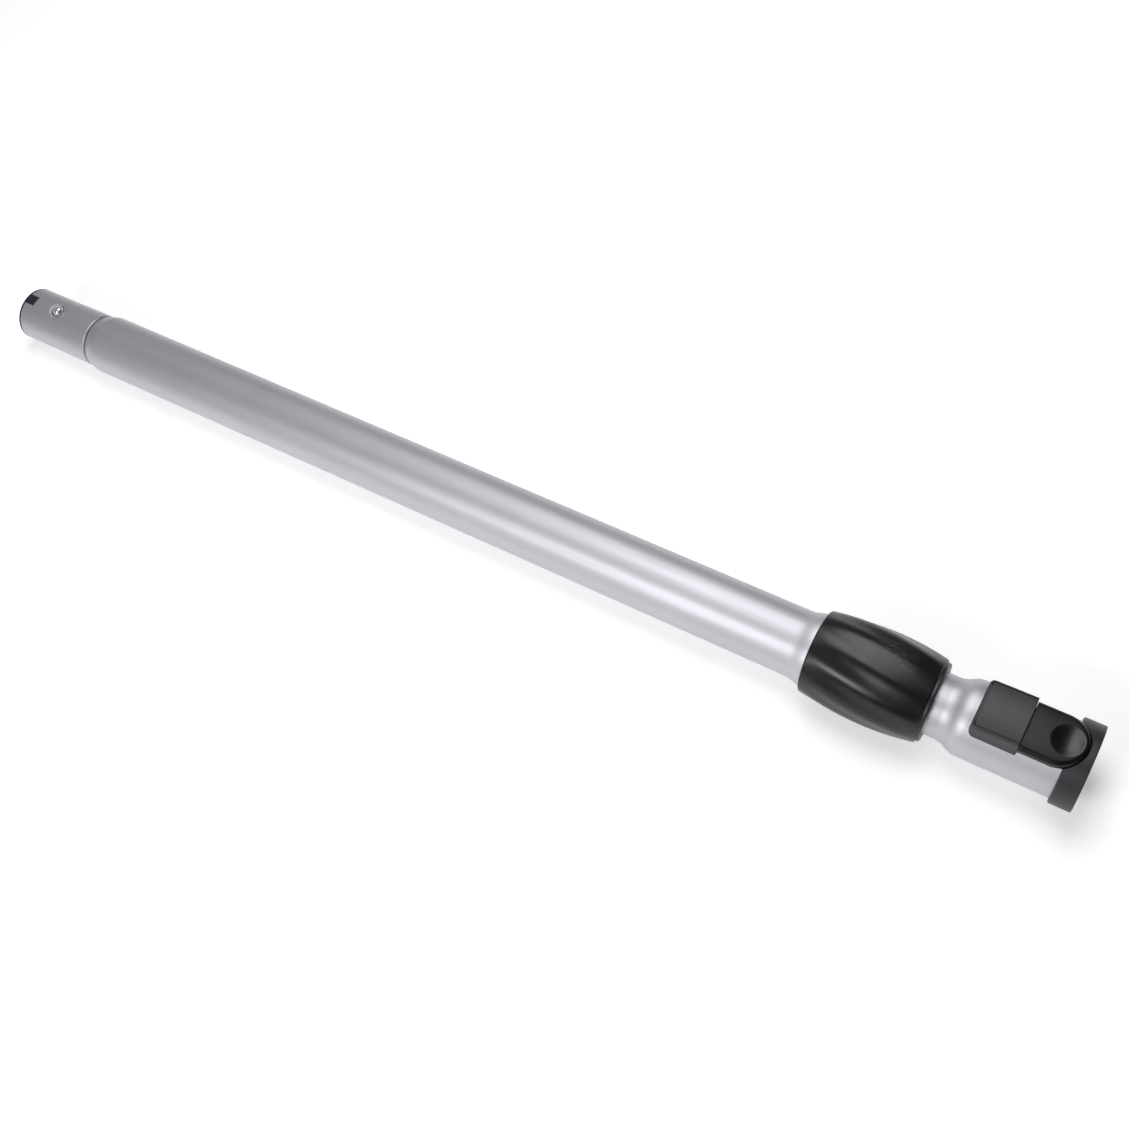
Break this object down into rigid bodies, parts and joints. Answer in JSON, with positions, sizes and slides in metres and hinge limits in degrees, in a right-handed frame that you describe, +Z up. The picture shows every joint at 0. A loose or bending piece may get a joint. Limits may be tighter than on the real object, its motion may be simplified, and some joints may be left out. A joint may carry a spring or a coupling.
{
  "type": "telescopic vacuum wand",
  "caption": "Steel vacuum wand whose inner tube slides out of the outer one, with a snap-ball spigot, a barrel-shaped release sleeve and a socket with a rocker latch.",
  "frame": {"origin": "on the table top, under the middle of the wand's overall box, as the collapsed wand lies at rest", "axes": "+X from the spigot to the socket, level; +Z up, through the snap ball and the latch; the wand's own axis rises by 0.77 degrees towards the socket, because the sleeve is fatter than the tube"},
  "size_m": [0.6654, 0.0482, 0.0512],
  "materials": {
    "tube_steel": "satin chrome plated steel tube",
    "gloss_black": "polished moulded black ABS",
    "matte_black": "fine eroded moulded black polypropylene",
    "lock_black": "moulded black acetal",
    "insert_black": "moulded blue-black plastic",
    "bush_white": "moulded natural acetal",
    "ball_chrome": "polished chrome plated",
    "spring_steel": "bright spring steel",
    "seal_rubber": "soft black rubber"
  },
  "bodies": {
    "outer": {"outer_tube": "tube_steel", "spigot_insert": "insert_black", "snap_spring": "spring_steel", "guide_bush": "bush_white", "lock_body": "lock_black", "lip_seal": "seal_rubber", "end_ring": "lock_black", "sleeve_spring": "spring_steel"},
    "ball": {"snap_ball": "ball_chrome"},
    "sleeve": {"slide_sleeve": "gloss_black"},
    "roller": {"lock_roller": "spring_steel"},
    "inner": {"inner_tube": "tube_steel", "glide_bush": "bush_white", "socket_collar": "matte_black", "socket_seal": "seal_rubber", "latch_cover": "matte_black", "latch_pin": "spring_steel", "latch_spring": "spring_steel"},
    "lever": {"latch_lever": "gloss_black", "latch_tooth": "spring_steel"}
  },
  "joints": [
    {"name": "telescope", "type": "slide", "parent": "outer", "child": "inner", "axis": [0.9999, 0, 0.0135], "range_m": [0, 0.365]},
    {"name": "sleeve_slide", "type": "slide", "parent": "outer", "child": "sleeve", "axis": [-0.9999, 0, -0.0135], "range_m": [0, 0.007], "stiffness_N_per_m": 900, "springref_m": -0.002, "deforming": ["sleeve_spring"]},
    {"name": "roller_lift", "type": "slide", "parent": "outer", "child": "roller", "axis": [-0.0135, 0, 0.9999], "range_m": [0, 0.001]},
    {"name": "ball_press", "type": "slide", "parent": "outer", "child": "ball", "axis": [0.0135, 0, -0.9999], "range_m": [0, 0.00225], "stiffness_N_per_m": 3000, "springref_m": -0.001, "deforming": ["snap_spring"]},
    {"name": "lever_press", "type": "hinge", "parent": "inner", "child": "lever", "pos_m": [0.29664, 0, 0.04685], "axis": [0, 1, 0], "range_deg": [0, 4.5], "stiffness_Nm_per_rad": 0.8, "springref_deg": -2.86, "deforming": ["latch_spring"]}
  ],
  "couplings": [
    {"joint": "roller_lift", "follows": "sleeve_slide", "ratio": 0.14286}
  ]
}
